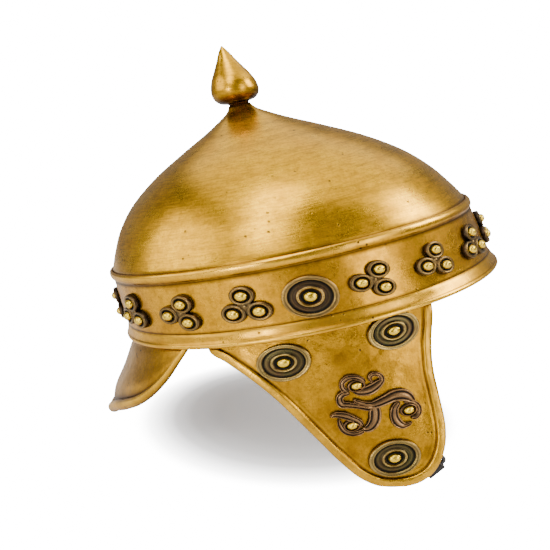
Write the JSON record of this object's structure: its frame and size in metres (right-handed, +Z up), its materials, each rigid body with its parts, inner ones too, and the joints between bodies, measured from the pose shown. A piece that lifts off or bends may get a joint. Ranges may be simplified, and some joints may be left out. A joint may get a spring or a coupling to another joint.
{
  "type": "helmet",
  "caption": "Onion-domed sheet-brass helmet with a pointed knob, brow band, nape guard, wide cheek guards, raised ring ornaments and a fastened chin strap.",
  "frame": {"origin": "on the surface that the helmet stands on, under the middle of its box", "axes": "+Z up, +X towards the wearer's face, +Y towards the wearer's left"},
  "size_m": [0.2631, 0.227, 0.2467],
  "materials": {
    "brass": "brushed and aged",
    "dark_bronze": "cast, dark patina with worn edges",
    "leather": "matt black",
    "black_metal": "glossy black"
  },
  "bodies": {
    "root": {"crown": "brass", "finial": "brass", "brow_band": "brass", "nape_guard": "brass", "cheek_guard_right": "brass", "cheek_guard_left": "brass", "strap_rivet_right": "brass", "strap_rivet_left": "brass", "trefoil_right_1": "dark_bronze", "trefoil_right_2": "dark_bronze", "trefoil_right_3": "dark_bronze", "trefoil_right_4": "dark_bronze", "trefoil_right_5": "dark_bronze", "trefoil_right_6": "dark_bronze", "trefoil_left_1": "dark_bronze", "trefoil_left_2": "dark_bronze", "trefoil_left_3": "dark_bronze", "trefoil_left_4": "dark_bronze", "trefoil_left_5": "dark_bronze", "trefoil_left_6": "dark_bronze", "trefoil_front": "dark_bronze", "trefoil_back": "dark_bronze", "band_roundel_right": "dark_bronze", "band_roundel_left": "dark_bronze", "cheek_roundel_right_1": "dark_bronze", "cheek_roundel_right_2": "dark_bronze", "cheek_roundel_right_3": "dark_bronze", "cheek_roundel_left_1": "dark_bronze", "cheek_roundel_left_2": "dark_bronze", "cheek_roundel_left_3": "dark_bronze", "triskele_right": "dark_bronze", "triskele_left": "dark_bronze", "guard_strap": "leather", "chin_strap": "leather", "strap_buckle": "black_metal"}
  },
  "joints": []
}
